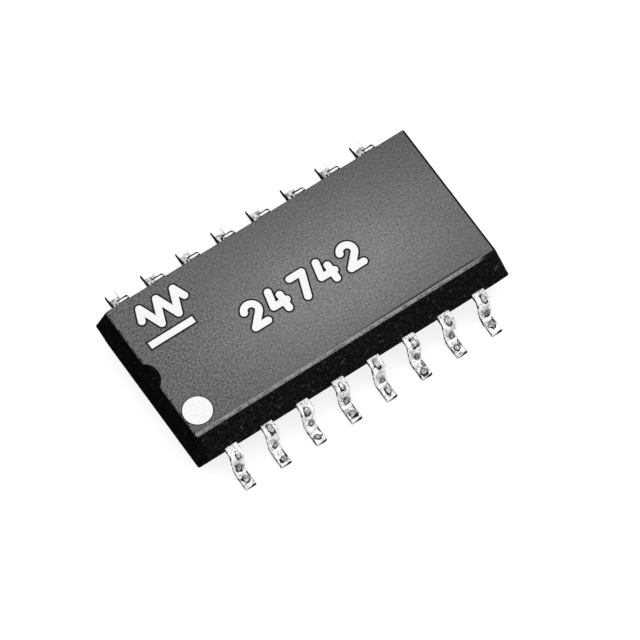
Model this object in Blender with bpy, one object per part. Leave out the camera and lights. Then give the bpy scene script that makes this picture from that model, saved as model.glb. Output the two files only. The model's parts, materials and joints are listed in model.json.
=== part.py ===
"""Sixteen-lead surface-mount resistor network.

A black epoxy body is moulded round an alumina plate that carries eight printed resistors.
Each lead is a formed gull wing, and its inner tab is soldered to a printed conductor pad.
The body's length runs along X and the leads point along Y. The solder feet stand on Z = 0.
"""

import math

import bmesh
import bpy

MM = 0.001

# Leads
LEAD_PITCH = 1.27 * MM
LEADS_PER_SIDE = 8
LEAD_THICKNESS = 0.20 * MM
TAB_WIDTH = 0.40 * MM
SHOULDER_WIDTH = 0.46 * MM
FOOT_WIDTH = 0.39 * MM
LEAD_EDGE_RADIUS = 0.06 * MM
SHOULDER_REACH = 0.28 * MM
FOOT_LENGTH = 0.658 * MM
BEND_RADIUS = 0.17 * MM
SHANK_LEAN = math.radians(6)
SOLDER_SWELL = 0.035 * MM

# Moulded body
END_MARGIN = 0.915 * MM
BODY_WIDTH = 5.64 * MM
UPPER_HEIGHT = 1.34 * MM
LOWER_HEIGHT = 0.92 * MM
STANDOFF = 0.18 * MM
UPPER_SIDE_DRAFT = math.radians(15)
LOWER_SIDE_DRAFT = math.radians(20)
END_DRAFT = math.radians(10)
EDGE_RADIUS = 0.09 * MM
CORNER_RADIUS = 0.08 * MM
NOTCH_RADIUS = 0.58 * MM
NOTCH_REACH = 0.25 * MM
NOTCH_DEPTH = 0.50 * MM

# Printed circuit inside the body
PLATE_THICKNESS = 0.508 * MM
PLATE_END_WALL = 0.55 * MM
PLATE_SIDE_WALL = 0.87 * MM
PAD_EDGE_MARGIN = 0.06 * MM
PAD_WIDTH = 0.62 * MM
PAD_LENGTH = 0.80 * MM
PRINT_THICKNESS = 0.03 * MM
FILM_WIDTH = 0.76 * MM
FILM_OVERLAP = 0.15 * MM
TRIM_CUT_WIDTH = 0.07 * MM
TRIM_CUT_DEPTH = 0.32 * MM
TRIM_CUT_OFFSET = 0.35 * MM
OVERCOAT_THICKNESS = 0.04 * MM
OVERCOAT_WRAP = 0.08 * MM
OVERCOAT_PAD_MARGIN = 0.12 * MM
JOINT_LENGTH = 0.17 * MM
JOINT_TOE = 0.015 * MM
JOINT_TOP_MARGIN = 0.03 * MM
JOINT_FILM_GAP = 0.10 * MM

# Clearances between touching pieces
MOULD_GAP = 0.015 * MM
PRINT_GAP = 0.010 * MM

# How far a cutter stands out of what it cuts, so that no two faces share a plane
CUTTER_OVERRUN = 0.05 * MM

# Facets
BEND_STEPS = 4
LEAD_EDGE_STEPS = 2
CORNER_STEPS = 4
EDGE_STEPS = 3
NOTCH_SIDES = 40
JOINT_STEPS = 5

# Edges flatter than these are shaded smooth
BODY_SMOOTH_ANGLE = math.radians(32)
SOLDER_SMOOTH_ANGLE = math.radians(40)

# Places worked out from the sizes above
BODY_LENGTH = (LEADS_PER_SIDE - 1) * LEAD_PITCH + 2 * END_MARGIN + SHOULDER_WIDTH
PARTING_Z = STANDOFF + LOWER_HEIGHT
BODY_TOP_Z = PARTING_Z + UPPER_HEIGHT
LEAD_BOTTOM_Z = PARTING_Z - LEAD_THICKNESS / 2
PAD_TOP_Z = LEAD_BOTTOM_Z - PRINT_GAP
PAD_BOTTOM_Z = PAD_TOP_Z - PRINT_THICKNESS
PLATE_TOP_Z = PAD_BOTTOM_Z - PRINT_GAP
PLATE_BOTTOM_Z = PLATE_TOP_Z - PLATE_THICKNESS
PLATE_HALF_LENGTH = BODY_LENGTH / 2 - PLATE_END_WALL
PLATE_HALF_WIDTH = BODY_WIDTH / 2 - PLATE_SIDE_WALL
PAD_OUTER_Y = PLATE_HALF_WIDTH - PAD_EDGE_MARGIN
PAD_INNER_Y = PAD_OUTER_Y - PAD_LENGTH
TAB_END_Y = PAD_INNER_Y + FILM_OVERLAP + JOINT_FILM_GAP + JOINT_LENGTH + PRINT_GAP
FILM_RISE = PRINT_THICKNESS + PRINT_GAP
FILM_TOP_Z = PAD_BOTTOM_Z + PRINT_THICKNESS + FILM_RISE
OVERCOAT_LOW_Z = PAD_BOTTOM_Z + PRINT_THICKNESS + PRINT_GAP
OVERCOAT_TOP_Z = OVERCOAT_LOW_Z + OVERCOAT_THICKNESS


def clear_scene():
    for thing in list(bpy.data.objects):
        bpy.data.objects.remove(thing, do_unlink=True)


def make_material(name, colour, roughness, metallic):
    material = bpy.data.materials.new(name)
    material.use_nodes = True
    surface = material.node_tree.nodes["Principled BSDF"]
    surface.inputs["Base Color"].default_value = (*colour, 1.0)
    surface.inputs["Roughness"].default_value = roughness
    surface.inputs["Metallic"].default_value = metallic
    material.diffuse_color = (*colour, 1.0)
    return material


def face_outwards(shape):
    """Turns a closed shape's faces to point out, also on thin shapes with deep channels."""
    bmesh.ops.recalc_face_normals(shape, faces=shape.faces)
    if shape.calc_volume(signed=True) < 0:
        bmesh.ops.reverse_faces(shape, faces=shape.faces)


def add_object(name, shape, material=None, smooth_below=None):
    """Makes a named object of a bmesh; edges flatter than smooth_below are shaded smooth."""
    face_outwards(shape)
    mesh = bpy.data.meshes.new(name)
    shape.to_mesh(mesh)
    shape.free()
    if smooth_below is not None:
        mesh.shade_smooth()
        mesh.set_sharp_from_angle(angle=smooth_below)
    if material is not None:
        mesh.materials.append(material)
    thing = bpy.data.objects.new(name, mesh)
    bpy.context.scene.collection.objects.link(thing)
    return thing


def add_cutter(name, shape, collection):
    """Makes a wire-drawn object that only cuts others."""
    cutter = add_object(name, shape)
    cutter.hide_render = True
    cutter.display_type = "WIRE"
    bpy.context.scene.collection.objects.unlink(cutter)
    collection.objects.link(cutter)
    return cutter


def make_collection(name):
    collection = bpy.data.collections.new(name)
    bpy.context.scene.collection.children.link(collection)
    return collection


def loft(rings):
    """Skins a stack of closed rings that have equal numbers of points, and caps both ends."""
    shape = bmesh.new()
    rows = [[shape.verts.new(point) for point in ring] for ring in rings]
    count = len(rows[0])
    for lower, upper in zip(rows, rows[1:]):
        for index in range(count):
            following = (index + 1) % count
            shape.faces.new((lower[index], lower[following], upper[following], upper[index]))
    shape.faces.new(rows[0])
    shape.faces.new(rows[-1])
    return shape


def extrude_profile(points, offset):
    """Closes a profile's points into a face and extrudes it by the offset."""
    shape = bmesh.new()
    face = shape.faces.new([shape.verts.new(point) for point in points])
    grown = bmesh.ops.extrude_face_region(shape, geom=[face])
    moved = [item for item in grown["geom"] if isinstance(item, bmesh.types.BMVert)]
    bmesh.ops.translate(shape, verts=moved, vec=offset)
    return shape


def box_shape(x_range, y_range, z_range):
    (x_low, x_high), (y_low, y_high), (z_low, z_high) = x_range, y_range, z_range
    outline = [(x_low, y_low, z_low), (x_high, y_low, z_low),
               (x_high, y_high, z_low), (x_low, y_high, z_low)]
    return extrude_profile(outline, (0, 0, z_high - z_low))


def rounded_rectangle(half_x, half_y, radius, steps):
    """Points of a rectangle about the origin whose corners are arcs, in order round it."""
    points = []
    for corner in range(4):
        middle = math.pi / 4 + corner * math.pi / 2
        centre_x = math.copysign(half_x - radius, math.cos(middle))
        centre_y = math.copysign(half_y - radius, math.sin(middle))
        for step in range(steps + 1):
            angle = corner * math.pi / 2 + step * math.pi / 2 / steps
            points.append((centre_x + radius * math.cos(angle),
                           centre_y + radius * math.sin(angle)))
    return points


# Moulded body

def edge_round_start(height, draft):
    """Height above the parting plane at which a drafted wall runs into its rounded edge."""
    return height - EDGE_RADIUS + EDGE_RADIUS * math.sin(draft)


def wall_inset(rise, height, draft):
    """How far a drafted wall with a rounded edge has drawn in at a rise from the parting plane."""
    start = edge_round_start(height, draft)
    if rise <= start:
        return rise * math.tan(draft)
    centre_inset = start * math.tan(draft) + EDGE_RADIUS * math.cos(draft)
    climb = min(rise - (height - EDGE_RADIUS), EDGE_RADIUS)
    return centre_inset - math.sqrt(EDGE_RADIUS ** 2 - climb ** 2)


def mould_half_rises(height, side_draft):
    """Rises of one mould half's rings above the parting plane, in order."""
    lowest = min(side_draft, END_DRAFT)
    rises = []
    for step in range(EDGE_STEPS + 1):
        angle = lowest + step * (math.pi / 2 - lowest) / EDGE_STEPS
        rises.append(height - EDGE_RADIUS + EDGE_RADIUS * math.sin(angle))
    return rises


def body_ring(rise, height, side_draft, direction):
    half_x = BODY_LENGTH / 2 - wall_inset(rise, height, END_DRAFT)
    half_y = BODY_WIDTH / 2 - wall_inset(rise, height, side_draft)
    outline = rounded_rectangle(half_x, half_y, CORNER_RADIUS, CORNER_STEPS)
    return [(x, y, PARTING_Z + direction * rise) for x, y in outline]


def body_shell():
    lower_rises = mould_half_rises(LOWER_HEIGHT, LOWER_SIDE_DRAFT)
    upper_rises = mould_half_rises(UPPER_HEIGHT, UPPER_SIDE_DRAFT)
    rings = [body_ring(rise, LOWER_HEIGHT, LOWER_SIDE_DRAFT, -1) for rise in reversed(lower_rises)]
    rings.append(body_ring(0, UPPER_HEIGHT, UPPER_SIDE_DRAFT, 1))
    rings += [body_ring(rise, UPPER_HEIGHT, UPPER_SIDE_DRAFT, 1) for rise in upper_rises]
    return loft(rings)


def notch_cutter_shape():
    """Round cutter for the half-round notch that marks the end with lead 1."""
    top_edge_x = -BODY_LENGTH / 2 + UPPER_HEIGHT * math.tan(END_DRAFT)
    centre_x = top_edge_x + NOTCH_REACH - NOTCH_RADIUS
    floor_z = BODY_TOP_Z - NOTCH_DEPTH
    outline = []
    for side in range(NOTCH_SIDES):
        angle = 2 * math.pi * side / NOTCH_SIDES
        outline.append((centre_x + NOTCH_RADIUS * math.cos(angle),
                        NOTCH_RADIUS * math.sin(angle), floor_z))
    return extrude_profile(outline, (0, 0, NOTCH_DEPTH + CUTTER_OVERRUN))


def pocket_cutter_shape():
    """Space that the epoxy leaves round the plate and its prints."""
    half_x = PLATE_HALF_LENGTH + MOULD_GAP
    half_y = PLATE_HALF_WIDTH + MOULD_GAP
    prints_top_z = max(FILM_TOP_Z, OVERCOAT_TOP_Z)
    return box_shape((-half_x, half_x), (-half_y, half_y),
                     (PLATE_BOTTOM_Z - MOULD_GAP, prints_top_z + MOULD_GAP))


def slot_cutter_shape(x, side):
    """Space that the epoxy leaves round one lead's tab and solder joint, open to the side."""
    half_width = SHOULDER_WIDTH / 2 + MOULD_GAP
    inner_y = TAB_END_Y - PRINT_GAP - JOINT_LENGTH - MOULD_GAP
    outer_y = BODY_WIDTH / 2 + CUTTER_OVERRUN
    y_range = sorted((side * inner_y, side * outer_y))
    return box_shape((x - half_width, x + half_width), y_range,
                     (LEAD_BOTTOM_Z - MOULD_GAP, LEAD_BOTTOM_Z + LEAD_THICKNESS + MOULD_GAP))


def moulded_body(material):
    """One epoxy moulding: two drafted halves, the notch, and the space round the circuit."""
    body = add_object("moulded_body", body_shell(), material, smooth_below=BODY_SMOOTH_ANGLE)
    cutters = make_collection("body cutters")
    add_cutter("notch_cutter", notch_cutter_shape(), cutters)
    add_cutter("pocket_cutter", pocket_cutter_shape(), cutters)
    for number, x, side in lead_places():
        add_cutter(f"slot_cutter_{number:02d}", slot_cutter_shape(x, side), cutters)
    cut = body.modifiers.new("hollow", "BOOLEAN")
    cut.operation = "DIFFERENCE"
    cut.operand_type = "COLLECTION"
    cut.collection = cutters
    cut.solver = "EXACT"


# Leads

def lead_places():
    """Number, X and side of every lead: 1 to 8 along the front, then back along the rear."""
    first_x = -(LEADS_PER_SIDE - 1) * LEAD_PITCH / 2
    places = []
    for index in range(LEADS_PER_SIDE):
        places.append((index + 1, first_x + index * LEAD_PITCH, -1))
    for index in range(LEADS_PER_SIDE):
        places.append((LEADS_PER_SIDE + index + 1, -first_x - index * LEAD_PITCH, 1))
    return places


def lead_stations():
    """Bend line of one lead, from its inner tab to the tip of its foot.

    Each station is the centre's reach and height, the direction of travel as an angle below
    level, the width and the thickness there.
    """
    exit_y = BODY_WIDTH / 2
    shank_angle = math.pi / 2 - SHANK_LEAN
    bend_y = exit_y + SHOULDER_REACH - BEND_RADIUS
    stations = [(TAB_END_Y, PARTING_Z, 0.0, TAB_WIDTH, LEAD_THICKNESS)]
    taper_start = exit_y - MOULD_GAP - SHOULDER_WIDTH / 2
    stations.append((taper_start, PARTING_Z, 0.0, TAB_WIDTH, LEAD_THICKNESS))
    stations.append((exit_y - MOULD_GAP, PARTING_Z, 0.0, SHOULDER_WIDTH, LEAD_THICKNESS))
    for step in range(BEND_STEPS + 1):
        angle = shank_angle * step / BEND_STEPS
        y = bend_y + BEND_RADIUS * math.sin(angle)
        z = PARTING_Z - BEND_RADIUS * (1 - math.cos(angle))
        stations.append((y, z, angle, SHOULDER_WIDTH, LEAD_THICKNESS))
    shank_y, shank_z = stations[-1][:2]
    foot_z = LEAD_THICKNESS / 2
    foot_bend_z = foot_z + BEND_RADIUS * (1 - math.cos(shank_angle))
    foot_bend_y = shank_y + (shank_z - foot_bend_z) * math.tan(SHANK_LEAN)
    middle_width = (SHOULDER_WIDTH + FOOT_WIDTH) / 2
    stations.append(((shank_y + foot_bend_y) / 2, (shank_z + foot_bend_z) / 2, shank_angle,
                     middle_width, LEAD_THICKNESS + SOLDER_SWELL))
    level_y = foot_bend_y + BEND_RADIUS * math.sin(shank_angle)
    for step in range(BEND_STEPS + 1):
        angle = shank_angle * (1 - step / BEND_STEPS)
        y = level_y - BEND_RADIUS * math.sin(angle)
        z = foot_z + BEND_RADIUS * (1 - math.cos(angle))
        stations.append((y, z, angle, FOOT_WIDTH, LEAD_THICKNESS))
    tip_y = level_y - BEND_RADIUS + FOOT_LENGTH
    stations.append(((level_y + tip_y) / 2, foot_z, 0.0, FOOT_WIDTH, LEAD_THICKNESS))
    stations.append((tip_y, foot_z, 0.0, FOOT_WIDTH, LEAD_THICKNESS))
    return stations


def lead_mesh_shape():
    """Lead pointing along +Y about X = 0: a rounded section swept along the bend line."""
    rings = []
    for y, z, angle, width, thickness in lead_stations():
        outline = rounded_rectangle(width / 2, thickness / 2, LEAD_EDGE_RADIUS, LEAD_EDGE_STEPS)
        rings.append([(across, y + out * math.sin(angle), z + out * math.cos(angle))
                      for across, out in outline])
    return loft(rings)


def leads(material):
    first = add_object("lead_01", lead_mesh_shape(), material, smooth_below=SOLDER_SMOOTH_ANGLE)
    for number, x, side in lead_places():
        lead = first if number == 1 else bpy.data.objects.new(f"lead_{number:02d}", first.data)
        if number > 1:
            bpy.context.scene.collection.objects.link(lead)
        lead.location.x = x
        lead.rotation_euler.z = math.pi if side < 0 else 0.0


# Printed circuit

def alumina_substrate(material):
    shape = box_shape((-PLATE_HALF_LENGTH, PLATE_HALF_LENGTH),
                      (-PLATE_HALF_WIDTH, PLATE_HALF_WIDTH), (PLATE_BOTTOM_Z, PLATE_TOP_Z))
    add_object("alumina_substrate", shape, material)


def conductor_pads(material):
    for number, x, side in lead_places():
        y_range = sorted((side * PAD_INNER_Y, side * PAD_OUTER_Y))
        shape = box_shape((x - PAD_WIDTH / 2, x + PAD_WIDTH / 2), y_range,
                          (PAD_BOTTOM_Z, PAD_TOP_Z))
        add_object(f"conductor_pad_{number:02d}", shape, material)


def film_outline():
    """Side view of a resistor film: level between the pads, and stepped up over their ends."""
    outer_y = PAD_INNER_Y + FILM_OVERLAP
    step_y = PAD_INNER_Y - PRINT_GAP
    low = PAD_BOTTOM_Z
    high = low + PRINT_THICKNESS
    bottom = [(-outer_y, low + FILM_RISE), (-step_y, low + FILM_RISE), (-step_y, low),
              (step_y, low), (step_y, low + FILM_RISE), (outer_y, low + FILM_RISE)]
    inner_y = step_y - PRINT_THICKNESS
    top = [(outer_y, high + FILM_RISE), (inner_y, high + FILM_RISE), (inner_y, high),
           (-inner_y, high), (-inner_y, high + FILM_RISE), (-outer_y, high + FILM_RISE)]
    return bottom + top


def trim_cutter_shape(left_x):
    """Thin slit into a film's left edge, through its full thickness."""
    film_top_z = PAD_BOTTOM_Z + PRINT_THICKNESS
    return box_shape((left_x - CUTTER_OVERRUN, left_x + TRIM_CUT_DEPTH),
                     (TRIM_CUT_OFFSET - TRIM_CUT_WIDTH / 2, TRIM_CUT_OFFSET + TRIM_CUT_WIDTH / 2),
                     (PAD_BOTTOM_Z - CUTTER_OVERRUN, film_top_z + CUTTER_OVERRUN))


def resistor_films(material):
    """One film from each front pad to the pad opposite, with the cut that trims its value."""
    cutters = make_collection("trim cutters")
    for number, x, side in lead_places():
        if side > 0:
            continue
        left_x = x - FILM_WIDTH / 2
        outline = [(left_x, y, z) for y, z in film_outline()]
        shape = extrude_profile(outline, (FILM_WIDTH, 0, 0))
        film = add_object(f"resistor_film_{number}", shape, material)
        cut = film.modifiers.new("trim cut", "BOOLEAN")
        cut.operation = "DIFFERENCE"
        cut.object = add_cutter(f"trim_cutter_{number}", trim_cutter_shape(left_x), cutters)
        cut.solver = "EXACT"


def glass_overcoat(material):
    """Glass sheet over all the films, thicker where it reaches down to the plate between them."""
    half_y = PAD_INNER_Y - OVERCOAT_PAD_MARGIN - PRINT_THICKNESS
    channel = FILM_WIDTH / 2 + PRINT_GAP
    half_x = (LEADS_PER_SIDE - 1) * LEAD_PITCH / 2 + channel + OVERCOAT_WRAP
    low = PAD_BOTTOM_Z
    outline = [(-half_x, OVERCOAT_TOP_Z), (-half_x, low)]
    for number, x, side in lead_places():
        if side < 0:
            outline += [(x - channel, low), (x - channel, OVERCOAT_LOW_Z),
                        (x + channel, OVERCOAT_LOW_Z), (x + channel, low)]
    outline += [(half_x, low), (half_x, OVERCOAT_TOP_Z)]
    points = [(x, -half_y, z) for x, z in outline]
    add_object("glass_overcoat", extrude_profile(points, (0, 2 * half_y, 0)), material)


def joint_outline():
    """Side view of a solder joint: a hollow fillet from the tab's end down to the pad."""
    back_y = TAB_END_Y - PRINT_GAP
    front_y = back_y - JOINT_LENGTH
    low = PAD_TOP_Z + PRINT_GAP
    rise = LEAD_BOTTOM_Z + LEAD_THICKNESS - JOINT_TOP_MARGIN - low - JOINT_TOE
    points = [(back_y, low), (front_y, low)]
    for step in range(JOINT_STEPS + 1):
        angle = math.pi / 2 * step / JOINT_STEPS
        points.append((front_y + JOINT_LENGTH * math.sin(angle),
                       low + JOINT_TOE + rise * (1 - math.cos(angle))))
    return points


def solder_joints(material):
    for number, x, side in lead_places():
        outline = [(x - TAB_WIDTH / 2, side * y, z) for y, z in joint_outline()]
        shape = extrude_profile(outline, (TAB_WIDTH, 0, 0))
        add_object(f"solder_joint_{number:02d}", shape, material,
                   smooth_below=SOLDER_SMOOTH_ANGLE)


def build():
    clear_scene()
    epoxy = make_material("black epoxy", (0.035, 0.035, 0.037), 0.62, 0.0)
    solder = make_material("tin solder", (0.80, 0.80, 0.79), 0.22, 1.0)
    alumina = make_material("white alumina", (0.86, 0.85, 0.82), 0.55, 0.0)
    silver = make_material("silver palladium print", (0.72, 0.70, 0.66), 0.40, 1.0)
    resistive = make_material("ruthenium oxide print", (0.06, 0.05, 0.05), 0.50, 0.0)
    glass = make_material("green overglaze", (0.05, 0.16, 0.09), 0.25, 0.0)
    moulded_body(epoxy)
    leads(solder)
    alumina_substrate(alumina)
    conductor_pads(silver)
    resistor_films(resistive)
    glass_overcoat(glass)
    solder_joints(solder)


build()
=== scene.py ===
# %% [markdown]
# # A sixteen-lead resistor network, dressed for a close-up
#
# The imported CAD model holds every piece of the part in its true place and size: the moulded
# body, sixteen formed leads, and the printed circuit inside. This lesson keeps that frame and
# makes what the eye sees: the epoxy with its rounded edges and grain, the solder on the
# leads, the white ink on the top, and the light that shows them.

# %% Load the CAD frame
import json
import math

import bpy
from mathutils import Matrix, Vector

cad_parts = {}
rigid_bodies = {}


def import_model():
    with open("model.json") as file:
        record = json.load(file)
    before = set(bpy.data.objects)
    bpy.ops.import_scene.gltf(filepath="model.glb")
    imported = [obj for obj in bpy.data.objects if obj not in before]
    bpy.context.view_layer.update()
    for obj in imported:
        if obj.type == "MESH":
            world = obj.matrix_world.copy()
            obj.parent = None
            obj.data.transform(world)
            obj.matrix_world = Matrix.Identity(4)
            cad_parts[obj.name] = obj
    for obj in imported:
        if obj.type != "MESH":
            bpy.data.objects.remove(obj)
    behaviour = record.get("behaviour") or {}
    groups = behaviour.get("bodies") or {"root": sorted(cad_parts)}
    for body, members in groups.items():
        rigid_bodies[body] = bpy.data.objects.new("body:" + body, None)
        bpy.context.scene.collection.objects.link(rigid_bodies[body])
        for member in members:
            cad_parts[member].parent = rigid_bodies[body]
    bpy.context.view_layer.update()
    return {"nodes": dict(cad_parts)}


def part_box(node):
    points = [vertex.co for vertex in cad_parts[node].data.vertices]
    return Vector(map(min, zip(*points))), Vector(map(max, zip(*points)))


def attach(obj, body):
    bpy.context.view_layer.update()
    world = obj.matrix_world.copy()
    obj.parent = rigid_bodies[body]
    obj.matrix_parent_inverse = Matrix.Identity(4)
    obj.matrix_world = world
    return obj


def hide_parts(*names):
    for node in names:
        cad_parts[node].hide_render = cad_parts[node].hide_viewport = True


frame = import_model()

# %% [markdown]
# ## Sizes that the CAD gives
#
# Nothing is measured twice. The body's box and one lead's box come from the CAD nodes, and
# the few sizes below them are the ones that a box can't tell, such as bend radii and drafts.
# All lengths are in metres, so millimetres are written as a number times MM.

# %% Sizes of the body and the leads
MM = 0.001
body_low, body_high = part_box("moulded_body")
lead_low, lead_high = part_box("lead_09")

PARTING_Z = 1.10 * MM
LEAD_THICKNESS = 0.20 * MM
SHOULDER_WIDTH = 0.46 * MM
TAB_WIDTH = 0.40 * MM
FOOT_WIDTH = 0.39 * MM
BEND_RADIUS = 0.17 * MM
SHOULDER_REACH = 0.28 * MM
SHANK_LEAN = math.radians(6)
LEAD_PITCH = 1.27 * MM
LEADS_PER_SIDE = 8

INK_ROOM = 0.006 * MM
BODY_TOP_Z = body_high.z - INK_ROOM
SKIN = 0.010 * MM
body_half_length = body_high.x - SKIN
body_half_width = body_high.y - SKIN
print("body top for ink at", round(1000 * BODY_TOP_Z, 4), "mm")

# %% [markdown]
# ## Working by operator
#
# Blender's operators act on what is selected, and the CAD nodes come in selected. So each
# step starts from an empty selection, and faces, edges and points are picked by their place
# or direction. A few short helpers keep those steps readable.

# %% Selection helpers
HAIR = 0.001 * MM


def leave_edit():
    bpy.ops.object.mode_set(mode="OBJECT")


def clear_selection():
    """Nothing selected, in object mode, before a new piece is added."""
    if bpy.context.object and bpy.context.object.mode != "OBJECT":
        leave_edit()
    bpy.ops.object.select_all(action="DESELECT")


def new_piece(add, **settings):
    """Adds a primitive, a lamp or a camera by its operator."""
    clear_selection()
    add(**settings)
    return bpy.context.object


def only(piece):
    """Makes one object the selected and active one."""
    clear_selection()
    piece.select_set(True)
    bpy.context.view_layer.objects.active = piece


def freeze(piece):
    """Moves the object's place, turn and scale into its mesh."""
    only(piece)
    bpy.ops.object.transform_apply(location=True, rotation=True, scale=True)


def pick(piece, kind, wanted=lambda part: True):
    """Enters edit mode with just the points, edges or faces for which wanted() is true."""
    only(piece)
    bpy.ops.object.mode_set(mode="EDIT")
    bpy.ops.mesh.select_mode(type=kind)
    bpy.ops.mesh.select_all(action="DESELECT")
    leave_edit()
    mesh = piece.data
    parts = {"VERT": mesh.vertices, "EDGE": mesh.edges, "FACE": mesh.polygons}[kind]
    for part in parts:
        part.select = wanted(part)
    bpy.ops.object.mode_set(mode="EDIT")


def ends_of(piece, edge):
    return [piece.data.vertices[index].co for index in edge.vertices]


def push(step, count=1):
    """Extrudes what is picked by one step, so many times."""
    for _ in range(count):
        bpy.ops.mesh.extrude_region_move(TRANSFORM_OT_translate={"value": step})


def bevel(piece, kind, wanted, size, segments):
    """Bevels the picked edges, or the picked corners of a flat shape."""
    pick(piece, kind, wanted)
    bpy.ops.mesh.bevel(offset=size, segments=segments,
                       affect="VERTICES" if kind == "VERT" else "EDGES")
    leave_edit()


def use_modifier(piece, kind, **settings):
    """Adds a modifier, sets it and applies it at once."""
    only(piece)
    modifier = piece.modifiers.new(kind.lower(), kind)
    for name, value in settings.items():
        setattr(modifier, name, value)
    bpy.ops.object.modifier_apply(modifier=modifier.name)


def close_up(piece):
    """Merges doubled points and turns every face outwards."""
    pick(piece, "FACE")
    bpy.ops.mesh.remove_doubles(threshold=1e-7)
    bpy.ops.mesh.normals_make_consistent(inside=False)
    leave_edit()


def finish_piece(piece, slot, *nodes):
    """Rides on the part's one body and stands for the CAD nodes given; its slot is not used."""
    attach(piece, "root")
    if nodes:
        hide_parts(*nodes)


print("helpers ready")

# %% [markdown]
# ## Wiring materials in code
#
# A procedural material is a small graph of nodes. Three helpers start a material, add a node
# with its settings and link two nodes. The others are short names for steps that come back,
# such as sums, noise and blends. Patterns read Object coordinates, and because every finished
# piece sits at the origin, a pattern has the same scale on all of them. One metre is a lot
# for a part this small, so the noise scales look large: 20 per millimetre is 20000.

# %% Material helpers
PER_MM = 1000.0


def start_material(name):
    material = bpy.data.materials.new(name)
    material.use_nodes = True
    return material


def shader_of(material):
    return material.node_tree.nodes["Principled BSDF"]


def add_node(material, kind, values=None, **settings):
    node = material.node_tree.nodes.new(kind)
    for name, value in settings.items():
        setattr(node, name, value)
    for name, value in (values or {}).items():
        node.inputs[name].default_value = value
    return node


def wire(material, output, target):
    material.node_tree.links.new(output, target)


def place(material):
    """The output that gives a point's place on the object."""
    return add_node(material, "ShaderNodeTexCoord").outputs["Object"]


def sums(material, operation, first, second=0.0, third=0.0):
    """One arithmetic step; each term is a number or another node's output."""
    node = add_node(material, "ShaderNodeMath", operation=operation)
    for target, term in zip(node.inputs, (first, second, third)):
        if isinstance(term, (int, float)):
            target.default_value = term
        else:
            wire(material, term, target)
    return node.outputs[0]


def chain(operation):
    """A step that takes any number of terms, from the first on."""
    def run(material, first, *others):
        for other in others:
            first = sums(material, operation, first, other)
        return first
    return run


plus, minus, times, most = map(chain, ("ADD", "SUBTRACT", "MULTIPLY", "MAXIMUM"))


def off_centre(material, value, middle, reach):
    """How far a value lies from a middle, where the reach counts as 1."""
    return sums(material, "DIVIDE", minus(material, value, middle), reach)


def squares(material, first, second):
    return sums(material, "MULTIPLY_ADD", first, first, times(material, second, second))


def axes_of(material, vector):
    node = add_node(material, "ShaderNodeSeparateXYZ")
    wire(material, vector, node.inputs[0])
    return node.outputs


def grey(tone):
    return (tone, tone, tone)


def noise(material, per_mm, detail=2.0, roughness=0.5, vector=None, offset=0.0):
    """Noise from 0 to 1 with so many features in a millimetre."""
    node = add_node(material, "ShaderNodeTexNoise", {
        "Scale": per_mm * PER_MM, "Detail": detail, "Roughness": roughness})
    if offset:
        shift = add_node(material, "ShaderNodeMapping", {"Location": (offset, offset, offset)})
        wire(material, vector or place(material), shift.inputs["Vector"])
        vector = shift.outputs["Vector"]
    wire(material, vector or place(material), node.inputs["Vector"])
    return node.outputs["Fac"]


def between(material, value, low, high, to_low=0.0, to_high=1.0, smooth=True):
    """Maps a value's range onto another, without passing its ends."""
    node = add_node(material, "ShaderNodeMapRange", {
        "From Min": low, "From Max": high, "To Min": to_low, "To Max": to_high})
    node.interpolation_type = "SMOOTHSTEP" if smooth else "LINEAR"
    wire(material, value, node.inputs["Value"])
    return node.outputs["Result"]


def blend(material, factor, first, second):
    """Mixes two colours; each is a triple or another node's output."""
    node = add_node(material, "ShaderNodeMix", data_type="RGBA")
    for index, term in ((6, first), (7, second)):
        if isinstance(term, tuple):
            node.inputs[index].default_value = (*term, 1.0)
        else:
            wire(material, term, node.inputs[index])
    wire(material, factor, node.inputs[0])
    return node.outputs[2]


def emboss(material, height, depth, strength=1.0):
    """Bump of a given depth in metres, wired to the shader's normal."""
    node = add_node(material, "ShaderNodeBump", {"Distance": depth, "Strength": strength})
    wire(material, height, node.inputs["Height"])
    wire(material, node.outputs["Normal"], shader_of(material).inputs["Normal"])


def set_shader(material, **values):
    names = {"metallic": "Metallic", "roughness": "Roughness", "gloss": "Specular IOR Level",
             "colour": "Base Color", "coat": "Coat Weight", "coat_roughness": "Coat Roughness"}
    for name, value in values.items():
        target = shader_of(material).inputs[names[name]]
        if isinstance(value, tuple):
            target.default_value = (*value, 1.0)
        elif isinstance(value, (int, float)):
            target.default_value = value
        else:
            wire(material, value, target)


print("material helpers ready")

# %% [markdown]
# ## Black epoxy, three ways
#
# The body is one black moulding compound, but it doesn't look like one colour. Its walls are
# close to black, and the end wall at the notch is darkened further with painted shade. Its top
# is a fine matt texture, and its mid grey is partly that texture and partly a painted sheen. The
# front edge carries a painted highlight. One compound is here three materials on one mesh: the
# same fine grain, with a different ground colour and gloss, and painted light in the top and edge.

# %% Epoxy of the walls


def epoxy_walls():
    material = start_material("black epoxy wall")
    x = axes_of(material, place(material))[0]
    grain = noise(material, 14.0, detail=4.0, roughness=0.65)
    ground = blend(material, between(material, grain, 0.40, 0.72),
                   (0.0030, 0.0030, 0.0031), (0.019, 0.019, 0.0193))
    fleck = between(material, noise(material, 7.0, 1.0, offset=0.37), 0.66, 0.76)
    ground = blend(material, fleck, ground, (0.050, 0.050, 0.051))
    # Painted shade: the end wall at the notch is darkened towards black.
    end_wall_painted_shade = between(material, x, -body_half_length + 0.40 * MM,
                        -body_half_length + 0.24 * MM, 0.0, 0.6)
    set_shader(material, colour=blend(material, end_wall_painted_shade, ground, grey(0.002)),
               roughness=between(material, grain, 0.3, 0.7, 0.52, 0.70), gloss=0.0)
    emboss(material, grain, 0.012 * MM, 0.5)
    return material


wall_epoxy = epoxy_walls()
print("made", wall_epoxy.name)
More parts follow.
